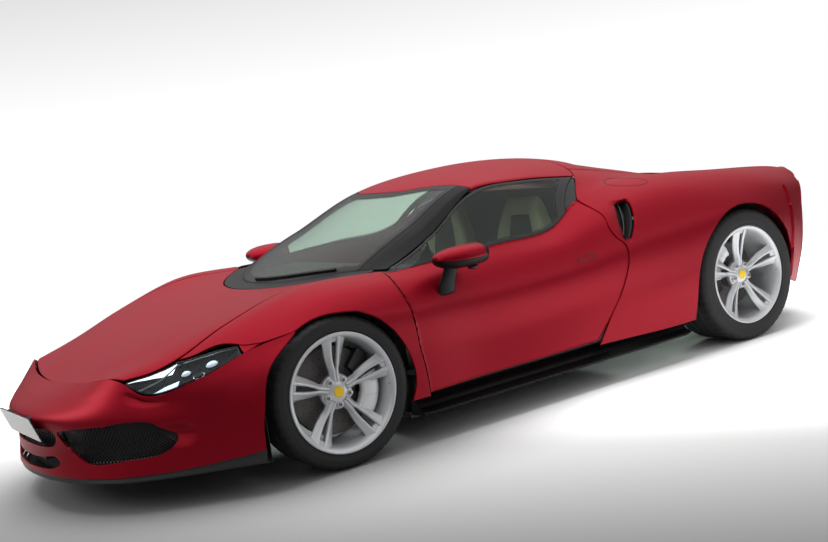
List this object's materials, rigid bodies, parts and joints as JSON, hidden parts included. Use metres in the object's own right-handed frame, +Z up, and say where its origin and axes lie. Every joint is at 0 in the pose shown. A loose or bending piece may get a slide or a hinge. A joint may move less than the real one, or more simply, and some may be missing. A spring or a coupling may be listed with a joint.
{
  "type": "mid-engined sports car",
  "caption": "Low mid-engined closed sports car with opening doors, bonnet and engine lid, steered front wheels and free-turning wheels.",
  "frame": {"origin": "on the ground, on the centre line, halfway between the nose and the tail", "axes": "+X forward, +Y to the car's left, +Z up"},
  "size_m": [4.5713, 2.16, 1.1876],
  "materials": {
    "paint": "satin",
    "black": "satin",
    "carbon": "satin",
    "frame": "matte",
    "glass": "polished",
    "lens": "polished",
    "red_lens": "polished",
    "steel": "brushed",
    "cast": "as cast",
    "dark_metal": "matte",
    "tyre": "matte",
    "alloy": "satin",
    "alloy_dull": "as cast",
    "hide": "grained",
    "hide_black": "grained"
  },
  "bodies": {
    "body": {"tub": "frame", "front_bumper": "paint", "splitter": "carbon", "grilles": "black", "front_fenders": "paint", "headlamps": "black", "headlamp_lenses": "lens", "pillars": "black", "windscreen": "glass", "roof": "paint", "quarter_panels": "paint", "rear_bumper": "paint", "tail_lamps": "red_lens", "exhaust": "steel", "diffuser": "carbon", "side_skirts": "carbon", "arch_liners": "black", "rear_uprights": "cast", "suspension_arms": "dark_metal", "seats": "hide", "dashboard": "black", "engine_block": "alloy_dull", "wipers": "black"},
    "door_left": {"door_left": "paint", "door_glass_left": "glass", "mirror_left": "paint"},
    "door_right": {"door_right": "paint", "door_glass_right": "glass", "mirror_right": "paint"},
    "bonnet": {"bonnet": "paint"},
    "engine_lid": {"engine_lid": "paint", "rear_window": "glass"},
    "steering_wheel": {"steering_wheel": "hide_black"},
    "front_upright_left": {"knuckle_fl": "cast"},
    "front_upright_right": {"knuckle_fr": "cast"},
    "front_wheel_left": {"tyre_fl": "tyre", "wheel_fl": "alloy"},
    "front_wheel_right": {"tyre_fr": "tyre", "wheel_fr": "alloy"},
    "rear_wheel_left": {"tyre_rl": "tyre", "wheel_rl": "alloy"},
    "rear_wheel_right": {"tyre_rr": "tyre", "wheel_rr": "alloy"}
  },
  "joints": [
    {"name": "steer_left", "type": "hinge", "parent": "body", "child": "front_upright_left", "pos_m": [1.1525, 0.7705, 0.34], "axis": [0, 0, 1], "range_deg": [-35, 35]},
    {"name": "steer_right", "type": "hinge", "parent": "body", "child": "front_upright_right", "pos_m": [1.1525, -0.7705, 0.34], "axis": [0, 0, 1], "range_deg": [-35, 35]},
    {"name": "steering_wheel_turn", "type": "hinge", "parent": "body", "child": "steering_wheel", "pos_m": [0.2475, 0.36, 0.69], "axis": [-0.9272, 0, 0.3746], "range_deg": [-455, 455]},
    {"name": "front_wheel_spin_left", "type": "hinge", "parent": "front_upright_left", "child": "front_wheel_left", "pos_m": [1.1525, 0.8325, 0.34], "axis": [0, 1, 0], "continuous": true},
    {"name": "front_wheel_spin_right", "type": "hinge", "parent": "front_upright_right", "child": "front_wheel_right", "pos_m": [1.1525, -0.8325, 0.34], "axis": [0, 1, 0], "continuous": true},
    {"name": "rear_wheel_spin_left", "type": "hinge", "parent": "body", "child": "rear_wheel_left", "pos_m": [-1.4475, 0.816, 0.361], "axis": [0, 1, 0], "continuous": true},
    {"name": "rear_wheel_spin_right", "type": "hinge", "parent": "body", "child": "rear_wheel_right", "pos_m": [-1.4475, -0.816, 0.361], "axis": [0, 1, 0], "continuous": true},
    {"name": "door_left_swing", "type": "hinge", "parent": "body", "child": "door_left", "pos_m": [0.6945, 0.953, 0.6], "axis": [0, 0.0797, -0.9968], "range_deg": [0, 65]},
    {"name": "door_right_swing", "type": "hinge", "parent": "body", "child": "door_right", "pos_m": [0.6945, -0.953, 0.6], "axis": [0, 0.0797, 0.9968], "range_deg": [0, 65]},
    {"name": "bonnet_lift", "type": "hinge", "parent": "body", "child": "bonnet", "pos_m": [0.8005, 0, 0.8], "axis": [0, -1, 0], "range_deg": [0, 60]},
    {"name": "engine_lid_lift", "type": "hinge", "parent": "body", "child": "engine_lid", "pos_m": [-0.6175, 0, 1.17], "axis": [0, 1, 0], "range_deg": [0, 50]}
  ],
  "couplings": [
    {"joint": "steer_right", "follows": "steer_left", "ratio": 1},
    {"joint": "steering_wheel_turn", "follows": "steer_left", "ratio": 13}
  ]
}
